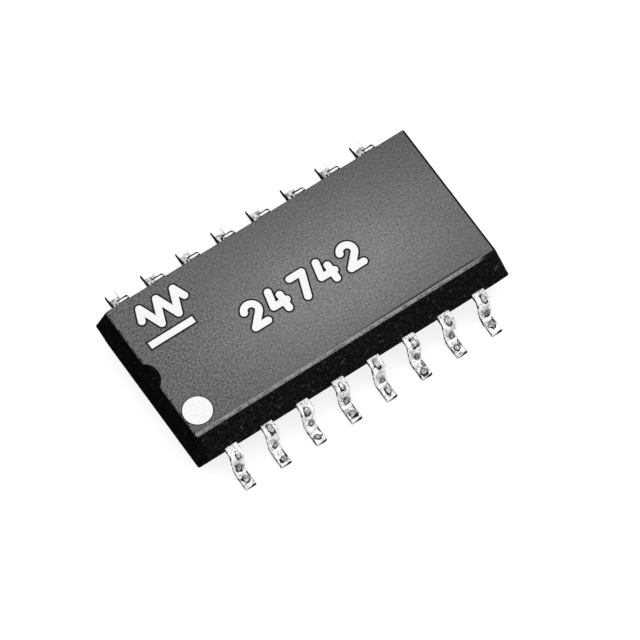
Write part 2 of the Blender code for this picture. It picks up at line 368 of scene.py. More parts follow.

# %% [markdown]
# The top's grain is about a twentieth of a millimetre, finer than the eye can resolve from
# here, and it gets rougher towards the notch. A painted sheen makes the top palest through the
# middle, and it greys down towards the ends and the back edge. Along the front edge runs a
# painted highlight band just under a tenth of a millimetre wide, which gains a painted bright
# line and a thin painted dark line behind it towards the right. At the notch end the black of
# the wall creeps in by a few hundredths of a millimetre, and at the far end a thin dark line
# runs along the edge. Each of these is drawn from a distance on the face, most of them broken
# by noise.

# %% Epoxy of the top face
END_DRAFT = math.radians(10)
NOTCH_END_DRAFT = math.radians(8)
SIDE_DRAFT = math.radians(15)
top_half_length = body_high.x - (body_high.z - PARTING_Z) * math.tan(END_DRAFT)
notch_end_x = (body_high.z - PARTING_Z) * math.tan(NOTCH_END_DRAFT) - body_high.x
top_half_width = body_high.y - (body_high.z - PARTING_Z) * math.tan(SIDE_DRAFT)
PAINTED_SHEEN_MIDDLE = (0.8 * MM, -0.45 * MM)
PAINTED_SHEEN_REACH = (4.6 * MM, 2.1 * MM)
BAND_WIDTH = 0.085 * MM
BAND_END = 5.0 * MM
BAND_FADE = 0.5 * MM
SOFT_EDGE = 0.02 * MM
BAND_LINES = [
    # start and end, from the band's inner edge, and shade: a painted highlight line, then a
    # painted shade line
    (-0.055 * MM, 0.005 * MM, 0.40),
    (-0.005 * MM, 0.080 * MM, 0.006),
]


def epoxy_top():
    material = start_material("black epoxy top")
    x, y, _ = axes_of(material, place(material))
    # Painted sheen: the top is palest about a middle just in front of centre and greys down away
    # from it.
    away = [off_centre(material, axis, middle, reach)
            for axis, middle, reach in zip((x, y), PAINTED_SHEEN_MIDDLE, PAINTED_SHEEN_REACH)]
    apart = times(material, squares(material, *away), -1.0)
    cloud = noise(material, 0.9, detail=3.0, offset=0.11)
    painted_sheen = times(material, sums(material, "EXPONENT", apart),
                 between(material, cloud, 0.2, 0.8, 0.85, 1.10))
    # Painted shade: towards the back edge the ground is lighter at the notch end and darker at the
    # far end.
    slope = between(material, x, -top_half_length, top_half_length, 0.011, -0.011, smooth=False)
    ground = sums(material, "MULTIPLY_ADD", slope,
                  between(material, y, 0.0, top_half_width), 0.066)
    tone = blend(material, painted_sheen, ground, grey(0.142))
    fine = noise(material, 16.0, detail=3.0, roughness=0.75)
    grain = add_node(material, "ShaderNodeMix", data_type="RGBA", blend_type="MULTIPLY")
    grain.inputs[0].default_value = 1.0
    wire(material, tone, grain.inputs[6])
    coarse = between(material, x, -1.5 * MM, -4.8 * MM, 0.55, 0.95)
    wire(material, sums(material, "MULTIPLY_ADD", coarse, between(
        material, fine, 0.34, 0.66, -1.0, 1.0, smooth=False), 1.0), grain.inputs[7])
    tone = grain.outputs[2]
    pit = between(material, noise(material, 9.0, 1.0, offset=0.53), 0.75, 0.79, 0.0, 0.8)
    tone = blend(material, pit, tone, (0.024, 0.024, 0.025))
    dust = between(material, noise(material, 10.0, 1.0, offset=0.71), 0.79, 0.82, 0.0, 0.7)
    tone = blend(material, dust, tone, grey(0.30))
    from_front = plus(material, y, top_half_width)
    ragged = noise(material, 9.0, 4.0, 0.7, offset=0.83)
    along_band = between(material, x, BAND_END, BAND_END - BAND_FADE)
    # Painted highlight: a light band along the front edge, fading out towards the far end.
    painted_highlight_band = times(material, along_band,
                 between(material, from_front, BAND_WIDTH + SOFT_EDGE, BAND_WIDTH),
                 between(material, ragged, 0.36, 0.56, 0.50, 1.0))
    tone = blend(material, painted_highlight_band, tone, grey(0.235))
    # Painted lines behind the band, stronger to the right: a bright highlight and a dark shade.
    along_band = times(material, along_band,
                       between(material, x, -1.0 * MM, 2.5 * MM, 0.1, 0.9))
    for start, end, shade in BAND_LINES:
        low, high = BAND_WIDTH + start, BAND_WIDTH + end
        line = times(material, between(material, from_front, low, low + SOFT_EDGE),
                     between(material, from_front, high, high - SOFT_EDGE))
        tone = blend(material, times(material, along_band, line), tone, grey(shade))
    from_end = minus(material, x, notch_end_x)
    creep = between(material, noise(material, 8.0, 2.0, 0.6, offset=0.29), 0.44, 0.60,
                    -0.024 * MM, 0.060 * MM)
    edge = between(material, minus(material, from_end, creep), -0.006 * MM, 0.006 * MM)
    tone = blend(material, edge, grey(0.006), tone)
    far_rim = between(material, minus(material, x, top_half_length), -0.056 * MM, -0.042 * MM)
    tone = blend(material, far_rim, tone, grey(0.002))
    set_shader(material, colour=tone, gloss=0.30,
               roughness=between(material, fine, 0.2, 0.8, 0.50, 0.64))
    emboss(material, fine, 0.010 * MM, 0.35)
    return material


def epoxy_edge():
    material = start_material("black epoxy edge painted highlight")
    x = axes_of(material, place(material))[0]
    mottle = noise(material, 11.0, detail=4.0, roughness=0.75, offset=0.83)
    # Painted highlight: the front round is grey up to near the far end, where it turns black.
    highlight_reach = between(material, x, BAND_END, BAND_END - BAND_FADE)
    painted_highlight = blend(material, between(material, mottle, 0.38, 0.62), grey(0.080), grey(0.24))
    set_shader(material, gloss=0.05, roughness=0.50,
               colour=blend(material, highlight_reach, grey(0.004), painted_highlight))
    emboss(material, mottle, 0.010 * MM, 0.5)
    return material


top_epoxy = epoxy_top()
edge_epoxy = epoxy_edge()
print("made", top_epoxy.name, "and", edge_epoxy.name)

# %% [markdown]
# ## The moulded body
#
# A moulding like this comes from a two-part tool, so its walls lean in from a parting line
# halfway up. That is easy to follow by hand: a cube for the upper half with its top face
# drawn in, its underside pulled down and drawn in again for the lower half. The upper wall at
# the notch end leans a little less than the one at the far end. The corners and rims are
# rounded with bevels, and the parting line is raised into the thin flash that the tool leaves.

# %% Two drafted halves
LOWER_SIDE_DRAFT = math.radians(20)
upper_height = BODY_TOP_Z - PARTING_Z
lower_height = PARTING_Z - body_low.z


def facing(direction, least=0.9):
    """A test for faces that look a given way."""
    aim = Vector(direction)
    return lambda face: face.normal.dot(aim) > least


def draw_in(height, side_draft):
    """Scale that a drafted face needs at some height above or below the parting line."""
    return (1 - height * math.tan(END_DRAFT) / body_half_length,
            1 - height * math.tan(side_draft) / body_half_width, 1)


upper_middle_z = PARTING_Z + upper_height / 2
body = new_piece(bpy.ops.mesh.primitive_cube_add, size=1, location=(0, 0, upper_middle_z))
body.name = "epoxy_body"
body.scale = (2 * body_half_length, 2 * body_half_width, upper_height)
freeze(body)
pick(body, "FACE", facing((0, 0, 1)))
bpy.ops.transform.resize(value=draw_in(upper_height, SIDE_DRAFT),
                         center_override=(0, 0, BODY_TOP_Z))
pick(body, "VERT", lambda point: point.co.x < 0 and point.co.z > upper_middle_z)
bpy.ops.transform.translate(value=(
    upper_height * (math.tan(NOTCH_END_DRAFT) - math.tan(END_DRAFT)), 0, 0))
pick(body, "FACE", facing((0, 0, -1)))
push((0, 0, -lower_height))
bpy.ops.transform.resize(value=draw_in(lower_height, LOWER_SIDE_DRAFT),
                         center_override=(0, 0, body_low.z))
close_up(body)
print("two halves:", len(body.data.polygons), "faces")

# %% Rounded corners and rims
CORNER_RADIUS = 0.06 * MM
RIM_ROUND = 0.065 * MM


def is_upright(edge):
    first, second = ends_of(body, edge)
    return abs(first.z - second.z) > 0.5 * lower_height


def at_height(*heights):
    """A test for the body's edges that lie level at one of these heights."""
    return lambda edge: all(any(abs(end.z - height) < HAIR for height in heights)
                            for end in ends_of(body, edge))


bevel(body, "EDGE", is_upright, CORNER_RADIUS, 6)
bevel(body, "EDGE", at_height(BODY_TOP_Z, body_low.z), RIM_ROUND, 6)
print("rounded:", len(body.data.polygons), "faces")

# %% Flash along the parting line
FLASH_HALF = 0.012 * MM
FLASH_REACH = 0.008 * MM


def in_flash_band(face):
    return abs(face.center.z - PARTING_Z) < FLASH_HALF and abs(face.normal.z) < 0.5


bevel(body, "EDGE", at_height(PARTING_Z), FLASH_HALF, 1)
pick(body, "FACE", in_flash_band)
bpy.ops.mesh.extrude_region_shrink_fatten(TRANSFORM_OT_shrink_fatten={"value": FLASH_REACH})
leave_edit()
print("flash reaches x =", round(1000 * max(v.co.x for v in body.data.vertices), 4), "mm")

# %% [markdown]
# The notch that marks the end with lead 1, the exits of the leads and the room that the
# epoxy leaves round the printed circuit are cut with simple solids. One exit is modelled and
# copied sixteen times, and the copies are joined so that one cut takes them all.

# %% Cutters for the notch, the exits and the circuit
NOTCH_RADIUS = 0.53 * MM
NOTCH_REACH = 0.25 * MM
NOTCH_DEPTH = 0.50 * MM
NOTCH_ASIDE = -0.05 * MM
GAP = 0.015 * MM


def box_cutter(low, high):
    cutter = new_piece(bpy.ops.mesh.primitive_cube_add, size=1,
                       location=(Vector(low) + Vector(high)) / 2)
    cutter.scale = Vector(high) - Vector(low)
    freeze(cutter)
    return cutter


def cut_away(piece, cutter):
    use_modifier(piece, "BOOLEAN", operation="DIFFERENCE", solver="EXACT", object=cutter)
    bpy.data.objects.remove(cutter, do_unlink=True)


def lead_places():
    """Number, place along the body and side of each lead, counted round the body."""
    first = -(LEADS_PER_SIDE - 1) * LEAD_PITCH / 2
    front = [(i + 1, first + i * LEAD_PITCH, -1) for i in range(LEADS_PER_SIDE)]
    rear = [(i + 1 + LEADS_PER_SIDE, -first - i * LEAD_PITCH, 1) for i in range(LEADS_PER_SIDE)]
    return front + rear


def copy_of(piece, name):
    """A copy with a mesh of its own."""
    only(piece)
    bpy.ops.object.duplicate(linked=False)
    twin = bpy.context.object
    twin.name = name
    return twin


notch_cutter = new_piece(
    bpy.ops.mesh.primitive_cylinder_add, vertices=96, radius=NOTCH_RADIUS, depth=2 * NOTCH_DEPTH,
    location=(notch_end_x + NOTCH_REACH - NOTCH_RADIUS, NOTCH_ASIDE, BODY_TOP_Z))
freeze(notch_cutter)
cut_away(body, notch_cutter)

plate_low, plate_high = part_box("alumina_substrate")
overcoat_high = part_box("glass_overcoat")[1]
film_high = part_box("resistor_film_1")[1]
room = Vector((GAP, GAP, GAP))
ceiling = max(overcoat_high.z, film_high.z)
cut_away(body, box_cutter(plate_low - room,
                          Vector((plate_high.x, plate_high.y, ceiling)) + room))

joint_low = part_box("solder_joint_09")[0]
half_slot = SHOULDER_WIDTH / 2 + GAP
slot_half_rise = LEAD_THICKNESS / 2 + GAP
slot = box_cutter((-half_slot, joint_low.y - GAP, PARTING_Z - slot_half_rise),
                  (half_slot, body_high.y + SHOULDER_REACH, PARTING_Z + slot_half_rise))
slots = []
for number, x, side in lead_places():
    twin = copy_of(slot, f"exit {number}")
    twin.rotation_euler.z = 0 if side > 0 else math.pi
    twin.location.x = x
    freeze(twin)
    slots.append(twin)
bpy.data.objects.remove(slot, do_unlink=True)
clear_selection()
for twin in slots:
    twin.select_set(True)
bpy.context.view_layer.objects.active = slots[0]
bpy.ops.object.join()
cut_away(body, slots[0])
print("cut body:", len(body.data.polygons), "faces")

# %% [markdown]
# Each face gets its finish by where it looks and where it lies: the flat top is grey, its grey
# partly a painted sheen, with the rounds at its back and notch end; the round along the front top
# edge carries the painted highlight; and the rest is black, the far end's round too. Normals
# weighted by area keep the big flat faces flat next to the narrow rounds.

# %% Finishes on the body
ROUND_DEPTH = 0.08 * MM
LEVEL = 0.995
BODY_SMOOTH_ANGLE = math.radians(34)
for finish in (wall_epoxy, top_epoxy, edge_epoxy):
    body.data.materials.append(finish)


def give_finish(piece, index, wanted):
    pick(piece, "FACE", wanted)
    piece.active_material_index = index
    bpy.ops.object.material_slot_assign()
    leave_edit()


def on_round(face, steepest):
    return face.center.z > BODY_TOP_Z - ROUND_DEPTH and steepest < face.normal.z < LEVEL


def is_front_round(face):
    return on_round(face, 0.35) and face.normal.y < -0.1 and abs(face.normal.x) < 0.3


def is_other_round(face):
    return on_round(face, 0.40) and face.normal.x < 0.1 and not is_front_round(face)


def is_flat_top(face):
    return face.normal.z > LEVEL and face.center.z > BODY_TOP_Z - HAIR


give_finish(body, 0, lambda face: True)
# The faces that look up get the grey top finish, which is partly painted sheen.
give_finish(body, 1, is_flat_top)
give_finish(body, 2, is_front_round)
give_finish(body, 1, is_other_round)
bpy.ops.object.shade_smooth_by_angle(angle=BODY_SMOOTH_ANGLE)
use_modifier(body, "WEIGHTED_NORMAL", keep_sharp=True, weight=50)
finish_piece(body, "black_epoxy", "moulded_body")
print("body finished:", len(body.data.polygons), "faces")

# %% [markdown]
# ## Solder on the leads
#
# The leads are dipped in molten solder, which sets in soft lumps and shallow pools. It is a
# bright metal with a slight roughness, but pale and matt where it is thin, at the front
# leads' roots and over the rear leads' bends. Each lead shows a few oval pools, grey inside
# with a dark rim that is darkest on one side: a painted reflection of the solder's lumps. Fine
# dark wrinkles lie between them. The rear leads also have painted shade: a dark line at the
# root, another at the bend, and a dark left edge on the foot. The pattern follows the lead round
# its bends, so it is drawn from an attribute that every point carries: how far across the lead
# it is, how far along, and on which side of it. A second attribute holds the lead's number,
# which moves its pools a little.

# %% Solder material
POOLS = [
    # along and across, half length and half width, all in mm, then how grey it is inside
    (0.22, 0.01, 0.125, 0.095, 0.85),
    (0.91, 0.02, 0.205, 0.100, 0.90),
    (1.57, 0.02, 0.120, 0.110, 1.00),
    (1.40, 0.17, 0.120, 0.055, 1.00),
]
POOL_DRIFT_ALONG = 0.14 * MM
POOL_DRIFT_ACROSS = 0.09 * MM
POOL_SEED_STEP = 17.3
LAST_FRONT_LEAD = LEADS_PER_SIDE + 0.5
FOOT_START = (1.0 * MM, 1.2 * MM)
BEND_MIDDLE = (0.45 * MM, 0.40 * MM)


def random_of(material, value):
    """Three random numbers from 0 to 1 that depend on one value."""
    draw = add_node(material, "ShaderNodeTexWhiteNoise", noise_dimensions="1D")
    wire(material, value, draw.inputs["W"])
    spread = add_node(material, "ShaderNodeSeparateColor")
    wire(material, draw.outputs["Color"], spread.inputs[0])
    return spread.outputs


def oval(material, across, along, centre, half_across, half_along):
    """Distance from an oval's centre, 1 on its line, with its two parts."""
    u = off_centre(material, across, centre[0], half_across)
    v = off_centre(material, along, centre[1], half_along)
    return sums(material, "SQRT", squares(material, u, v)), u, v


def lead_marks(material):
    """A point's place on its lead, the lead's number, and 1 on the rear row and on the foot."""
    where = add_node(material, "ShaderNodeAttribute", attribute_name="blank")
    across, along, depth = axes_of(material, where.outputs["Vector"])
    lead = add_node(material, "ShaderNodeAttribute", attribute_name="lead").outputs["Fac"]
    rear = between(material, lead, LAST_FRONT_LEAD, LAST_FRONT_LEAD + 0.1, smooth=False)
    foot = between(material, along, *FOOT_START)
    return across, along, depth, lead, rear, foot


def solder_coat():
    material = start_material("dipped solder")
    across, along, depth, lead, rear, foot = lead_marks(material)
    cloud = noise(material, 5.0, detail=3.0, roughness=0.6)
    wobble = sums(material, "MULTIPLY_ADD", noise(material, 8.0, 3.0, offset=0.61), 1.4, 0.30)
    broken = between(material, noise(material, 9.0, 2.0, offset=0.19), 0.38, 0.50, 0.45, 1.0)
    mottle = between(material, noise(material, 13.0, 2.0, offset=0.91), 0.34, 0.62, 0.45, 1.0)
    painted_dark_rims = pools = 0.0
    for index, (middle, aside, half_along, half_across, fill) in enumerate(POOLS):
        first, second, third = random_of(
            material, plus(material, lead, POOL_SEED_STEP * (index + 1)))
        centre = (sums(material, "MULTIPLY_ADD", second, POOL_DRIFT_ACROSS,
                       aside * MM - POOL_DRIFT_ACROSS / 2),
                  sums(material, "MULTIPLY_ADD", first, POOL_DRIFT_ALONG,
                       middle * MM - POOL_DRIFT_ALONG / 2))
        radius, u, v = oval(material, across, along, centre, half_across * MM, half_along * MM)
        size = sums(material, "MULTIPLY_ADD", third, 0.35, 0.85)
        radius = sums(material, "DIVIDE", times(material, radius, wobble), size)
        # Painted reflection: each pool is grey inside, with a dark rim that is darkest on one
        # side.
        lower = between(material, minus(material, v, u), -1.3, 0.2, 0.40, 1.0)
        rim = times(material, between(material, radius, 0.50, 0.80),
                    between(material, radius, 1.30, 1.08), lower, broken)
        painted_dark_rims = most(material, rim, painted_dark_rims)
        pool = times(material, between(material, radius, 1.1, 0.8), fill, mottle)
        pools = most(material, pool, pools)
    strip = add_node(material, "ShaderNodeCombineXYZ")
    for target, term in zip(strip.inputs, (across, times(material, along, 0.6),
                                           times(material, lead, 0.37 * MM))):
        wire(material, term, target)
    folds = noise(material, 7.0, 3.0, 0.6, vector=strip.outputs[0])
    fold = between(material, sums(material, "ABSOLUTE", minus(material, folds, 0.5)),
                   0.030, 0.008)
    patch = between(material, noise(material, 3.5, 1.0, offset=0.43), 0.36, 0.50)
    wrinkles = times(material, fold, times(material, patch, 0.85))
    outer = between(material, depth, 0.02 * MM, 0.06 * MM)
    bend = between(material, along, *BEND_MIDDLE)
    faint = times(material, most(material, foot, bend), 0.85)
    shown = sums(material, "MULTIPLY_ADD", times(material, rear, faint), -1.0, 1.0)
    shown = times(material, outer, shown)
    pinch = between(material, across, 0.09 * MM, 0.20 * MM, 0.0, 0.035 * MM)
    # Painted shade on the rear leads: a dark band at the bend, a dark line at the root and a dark
    # left edge on the foot.
    bend_shade = times(material, between(material, along, 0.42 * MM, 0.37 * MM),
                    between(material, plus(material, along, pinch), 0.226 * MM, 0.240 * MM))
    root = between(material, sums(material, "MULTIPLY_ADD", pinch, -0.6, along),
                   0.170 * MM, 0.161 * MM)
    brim = sums(material, "MULTIPLY_ADD", along, -0.114, 0.033 * MM)
    left = times(material, foot,
                 between(material, minus(material, across, brim), 0.006 * MM, 0.0))
    back = times(material, outer, rear)
    painted_shade_lines = times(material, back, most(material, bend_shade, root, left))
    heel = most(material,
                times(material, foot, between(material, along, 1.66 * MM, 1.56 * MM)),
                times(material, bend, between(material, across, -0.09 * MM, -0.14 * MM)))
    heel = times(material, heel, back, mottle)
    pools = most(material, times(material, pools, shown), heel)
    tone = blend(material, between(material, cloud, 0.36, 0.62),
                 (0.98, 0.98, 0.97), (0.62, 0.62, 0.615))
    frost = sums(material, "MULTIPLY_ADD",
                 between(material, along, 0.20 * MM, 0.08 * MM, 0.0, 0.9),
                 minus(material, 1.0, rear), times(material, back, bend))
    tone = blend(material, frost, tone, (0.97, 0.97, 0.965))
    painted_dark_rims = most(material, times(material, painted_dark_rims, shown), painted_shade_lines)
    for mask, dark in ((times(material, wrinkles, shown), 0.09), (pools, 0.14), (painted_dark_rims, 0.006)):
        tone = blend(material, mask, tone, grey(dark))
    set_shader(material, colour=tone, gloss=0.0,
               metallic=minus(material, 1.0, most(material, painted_dark_rims, frost)),
               roughness=between(material, cloud, 0.3, 0.7, 0.26, 0.38))
    emboss(material, noise(material, 12.0, 2.0, offset=0.17), 0.010 * MM, 0.5)
    return material


solder = solder_coat()
print("made", solder.name, "with", len(POOLS), "pools")

# %% [markdown]
# The strip that the leads come from is sheared, and molten solder draws back from a sheared
# edge. So the lower part of the lead's two long sides, where the shear broke through, keeps
# only a thin, dull coat that has gone dark. That dark is also painted shade and a painted dark
# reflection, so it takes more of the faces that look left than of those that look right. The
# dark reaches highest by the root and on the foot, and on the rear row's feet all the way up.
# The lower half of the cut at the tip is dark too. That is a second material, given to the
# faces that look sideways. It reads the same attributes.

# %% Sheared edges
LEAD_RUN = 1.810 * MM


def sheared_edge_and_shade():
    material = start_material("dull sheared edge and painted shade")
    across, along, depth, _, rear, foot = lead_marks(material)
    stain = noise(material, 8.0, detail=3.0, roughness=0.65)
    reach = most(material,
                 between(material, along, 0.85 * MM, 1.25 * MM, -0.014 * MM, 0.050 * MM),
                 between(material, along, 0.50 * MM, 0.30 * MM, -0.010 * MM, 0.045 * MM))
    reach = sums(material, "MULTIPLY_ADD", noise(material, 6.0, 1.0, offset=0.67), 0.22 * MM,
                 minus(material, reach, 0.11 * MM))
    broken = between(material, minus(material, depth, reach), 0.015 * MM, -0.010 * MM)
    on_tip = between(material, along, LEAD_RUN - 0.006 * MM, LEAD_RUN - 0.003 * MM)
    lip = between(material, across, -0.02 * MM, 0.09 * MM, 0.0, 0.090 * MM)
    burr = times(material, between(material, across, -0.12 * MM, 0.02 * MM, 0.5, 1.0),
                 between(material, minus(material, depth, lip), 0.030 * MM, 0.0))
    # The dark here is partly a dull sheared edge and partly painted shade and dark reflection.
    bare_and_shaded = most(material, broken, times(material, rear, foot))
    bare_and_shaded = plus(material, times(material, bare_and_shaded, minus(material, 1.0, on_tip)),
                times(material, burr, on_tip))
    bright = blend(material, between(material, stain, 0.40, 0.62),
                   (0.90, 0.90, 0.89), (0.60, 0.60, 0.595))
    dull = blend(material, between(material, stain, 0.50, 0.80), grey(0.012), grey(0.08))
    set_shader(material, metallic=minus(material, 1.0, bare_and_shaded), roughness=0.40, gloss=0.0,
               colour=blend(material, bare_and_shaded, bright, dull))
    emboss(material, stain, 0.008 * MM, 0.5)
    return material


bare_edge_and_shade = sheared_edge_and_shade()
print("made", bare_edge_and_shade.name)

# %% [markdown]
# ## One formed lead
#
# A lead starts as a flat strip, here a small plane with its corners rounded, and is pushed
# out along its bend line: straight out of the body, spun down over the shoulder, down the
# shank, spun back level, and along the foot. Spin makes a bend exactly as a forming die
# does, with the same radius all across. The lead is modelled once.

# %% Model the lead
LEAD_CORNER = 0.055 * MM
CUTS_ACROSS = 9
EXIT_STEPS, SPIN_STEPS, SHANK_STEPS, FOOT_STEPS = 3, 10, 14, 10
exit_y = body_high.y - GAP
bend_y = body_high.y + SHOULDER_REACH - BEND_RADIUS
bend_angle = math.pi / 2 - SHANK_LEAN
foot_z = LEAD_THICKNESS / 2
shank_start = Vector((0, bend_y + BEND_RADIUS * math.sin(bend_angle),
                      PARTING_Z - BEND_RADIUS * (1 - math.cos(bend_angle))))
shank_end_z = foot_z + BEND_RADIUS * (1 - math.cos(bend_angle))
shank_drop = shank_start.z - shank_end_z
shank = Vector((0, shank_drop * math.tan(SHANK_LEAN), -shank_drop))
foot_bend = Vector((0, shank_start.y + shank.y + BEND_RADIUS * math.sin(bend_angle),
                    foot_z + BEND_RADIUS))
foot_length = lead_high.y - foot_bend.y


def widen(ratio):
    """Scales the selected end face across the lead only."""
    bpy.ops.transform.resize(value=(ratio, 1, 1), center_override=(0, 0, 0))


def runs_across(edge):
    first, second = ends_of(lead_form, edge)
    return abs(first.x - second.x) > TAB_WIDTH / 2


lead_form = new_piece(bpy.ops.mesh.primitive_plane_add, size=1,
                      location=(0, lead_low.y, PARTING_Z), rotation=(math.pi / 2, 0, 0))
lead_form.scale = (TAB_WIDTH, LEAD_THICKNESS, 1)
freeze(lead_form)
bevel(lead_form, "VERT", lambda point: True, LEAD_CORNER, 4)
pick(lead_form, "EDGE", runs_across)
bpy.ops.mesh.subdivide(number_cuts=CUTS_ACROSS)
leave_edit()
pick(lead_form, "FACE")
taper_y = exit_y - SHOULDER_WIDTH / 2
push((0, taper_y - lead_low.y, 0))
push((0, exit_y - taper_y, 0))
widen(SHOULDER_WIDTH / TAB_WIDTH)
push((0, (bend_y - exit_y) / EXIT_STEPS, 0), EXIT_STEPS)
bpy.ops.mesh.spin(steps=SPIN_STEPS, angle=bend_angle, axis=(1, 0, 0),
                  center=(0, bend_y, PARTING_Z - BEND_RADIUS))
for step in range(SHANK_STEPS):
    push(shank / SHANK_STEPS)
    widen((FOOT_WIDTH / SHOULDER_WIDTH) ** (1 / SHANK_STEPS))
bpy.ops.mesh.spin(steps=SPIN_STEPS, angle=-bend_angle, axis=(1, 0, 0), center=foot_bend)
push((0, foot_length / FOOT_STEPS, 0), FOOT_STEPS)
leave_edit()
close_up(lead_form)
print("lead reaches y =", round(1000 * max(v.co.y for v in lead_form.data.vertices), 3),
      "mm and z =", round(1000 * min(v.co.z for v in lead_form.data.vertices), 4), "mm")

# %% [markdown]
# The lead is copied to its sixteen places, each copy with its own mesh. Each point is told
# where it lies on the lead, for the solder's pattern. A displacement that reads the copy's
# own place then gives each one different lumps. It only ever draws the surface in, so no
# lead grows past its CAD twin.

# %% Sixteen leads with their own lumps
LUMP_DEPTH = 0.022 * MM
lumps = bpy.data.textures.new("solder lumps", "CLOUDS")
lumps.noise_scale = 0.16 * MM
lumps.noise_depth = 1
LEAD_SMOOTH_ANGLE = math.radians(50)
LINE_STEPS = 12


def bend_line():
    """Points of the lead's centre line, from the shoulder's exit to the tip."""
    points = [Vector((0, exit_y, PARTING_Z)), Vector((0, bend_y, PARTING_Z))]
    for step in range(1, LINE_STEPS + 1):
        turn = bend_angle * step / LINE_STEPS
        points.append(Vector((0, bend_y + BEND_RADIUS * math.sin(turn),
                              PARTING_Z - BEND_RADIUS * (1 - math.cos(turn)))))
    for step in range(LINE_STEPS + 1):
        turn = bend_angle * (1 - step / LINE_STEPS)
        points.append(Vector((0, foot_bend.y - BEND_RADIUS * math.sin(turn),
                              foot_bend.z - BEND_RADIUS * math.cos(turn))))
    points.append(Vector((0, lead_high.y, foot_z)))
    return points


def place_on_lead(point, line):
    """Run along the bend line and height over it, of a point given from X = 0."""
    best = None
    run = 0.0
    for first, second in zip(line, line[1:]):
        step = second - first
        share = min(1.0, (point - first).dot(step) / step.length_squared)
        if first is not line[0]:
            share = max(0.0, share)
        nearest = first + step * share
        gap = (point - nearest).length
        if best is None or gap < best[0]:
            out = Vector((0, -step.z, step.y)).normalized()
            best = (gap, run + step.length * share, (point - nearest).dot(out))
        run += step.length
    return best[1], best[2]


def is_sheared_or_shaded(side):
    """A test for a lead's long sides and tip, for the dull edge and painted shade; the dark
    reaches further on its left.
    """
    return lambda face: (face.normal.x < -0.45 or face.normal.x > 0.97
                         or side * face.normal.y > 0.90 and face.center.z < 0.2 * MM)


centre_line = bend_line()
leads = []
for number, x, side in lead_places():
    lead = copy_of(lead_form, f"solder_lead_{number:02d}")
    flat = [Vector((0, v.co.y, v.co.z)) for v in lead.data.vertices]
    blank = lead.data.attributes.new("blank", "FLOAT_VECTOR", "POINT")
    for index, point in enumerate(flat):
        along, height = place_on_lead(point, centre_line)
        across = lead.data.vertices[index].co.x * side
        blank.data[index].vector = (across, along, height)
    order = lead.data.attributes.new("lead", "FLOAT", "POINT")
    for item in order.data:
        item.value = number
    lead.rotation_euler.z = 0 if side > 0 else math.pi
    lead.location.x = x
    freeze(lead)
    use_modifier(lead, "DISPLACE", texture=lumps, texture_coords="LOCAL",
                 strength=LUMP_DEPTH, mid_level=1.0)
    bpy.ops.object.shade_smooth_by_angle(angle=LEAD_SMOOTH_ANGLE)
    lead.data.materials.append(solder)
    lead.data.materials.append(bare_edge_and_shade)
    give_finish(lead, 1, is_sheared_or_shaded(side))
    finish_piece(lead, "solder_coat", f"lead_{number:02d}")
    leads.append(lead)
bpy.data.objects.remove(lead_form, do_unlink=True)
print(len(leads), "leads of", len(leads[0].data.polygons), "faces")

# %% [markdown]
# ## White ink on the top
#
# The print is a thin coat of white ink with a fine dark line round it, a painted shade where
# the ink's edge stands up from the epoxy. The part carries a round dot next to lead 1, a plain
# zigzag with a bar, and plain numbers. The numbers are drawn as with a felt pen: a small disc is
# laid down at the start of a stroke, and its leading edge is pushed along the stroke's path, so
# every stroke has round ends. Strokes that meet are merged with a union. A union is safer on
# shapes of ordinary size, so all print is drawn with one metre for a millimetre and shrunk
# when it is laid on the epoxy.

# %% Ink materials


def white_ink():
    material = start_material("white ink")
    speckle = noise(material, 16.0, detail=3.0, roughness=0.7)
    set_shader(material, roughness=0.55, gloss=0.3,
               colour=blend(material, between(material, speckle, 0.3, 0.7),
                            grey(0.71), grey(0.61)))
    emboss(material, speckle, 0.004 * MM, 0.4)
    return material


def ink_edge_shade():
    # Painted shade: a dark sheet that shows round the edge of the white ink.
    material = start_material("dark ink edge painted shade")
    speckle = noise(material, 12.0, detail=3.0)
    set_shader(material, roughness=0.6, gloss=0.1,
               colour=blend(material, speckle, grey(0.002), grey(0.010)))
    return material


ink = white_ink()
ink_shade_rim = ink_edge_shade()
print("made", ink.name, "and", ink_shade_rim.name)

# %% Pen strokes and flat shapes
RIM_WIDTH = 0.055
RIM_RISE = 0.0050
INK_RISE = 0.0078
STROKE_STEP = 0.0002
INK_LOW = BODY_TOP_Z - 0.0020 * MM
PEN_SIDES = 24


def thicken(piece, rise):
    """Gives a flat shape its thickness, upwards."""
    pick(piece, "FACE")
    push((0, 0, rise))
    leave_edit()
    close_up(piece)


def pen_stroke(path, radius, rise, order):
    """A stroke with round ends along a path of (x, y) points, drawn a thousand times as large.

    Later strokes of a figure lie a hair lower, so that no two share a plane: a union of
    solids with overlapping faces in one plane can lose some of them.
    """
    points = [Vector((x, y, -order * STROKE_STEP)) for x, y in path]
    heading = (points[1] - points[0]).to_2d()
    aim = math.atan2(heading.y, heading.x)
    stroke = new_piece(bpy.ops.mesh.primitive_circle_add, vertices=PEN_SIDES, radius=radius,
                       fill_type="NGON", location=points[0], rotation=(0, 0, aim))
    freeze(stroke)
    forward = Vector((heading.x, heading.y, 0)).normalized()
    pick(stroke, "EDGE", lambda edge: all((end - points[0]).dot(forward) > -1e-5
                                          for end in ends_of(stroke, edge)))
    for here, there, after in zip(points, points[1:], points[2:] + [None]):
        push(there - here)
        if after is not None:
            turn = (there - here).to_2d().angle_signed((after - there).to_2d())
            bpy.ops.transform.rotate(value=turn, orient_axis="Z", center_override=there)
    leave_edit()
    thicken(stroke, rise)
    return stroke


def arc(centre, radius, start, end, steps=12):
    """Points of an arc in degrees, anticlockwise positive."""
    angles = [math.radians(start + (end - start) * i / steps) for i in range(steps + 1)]
    return [(centre[0] + radius * math.cos(a), centre[1] + radius * math.sin(a)) for a in angles]


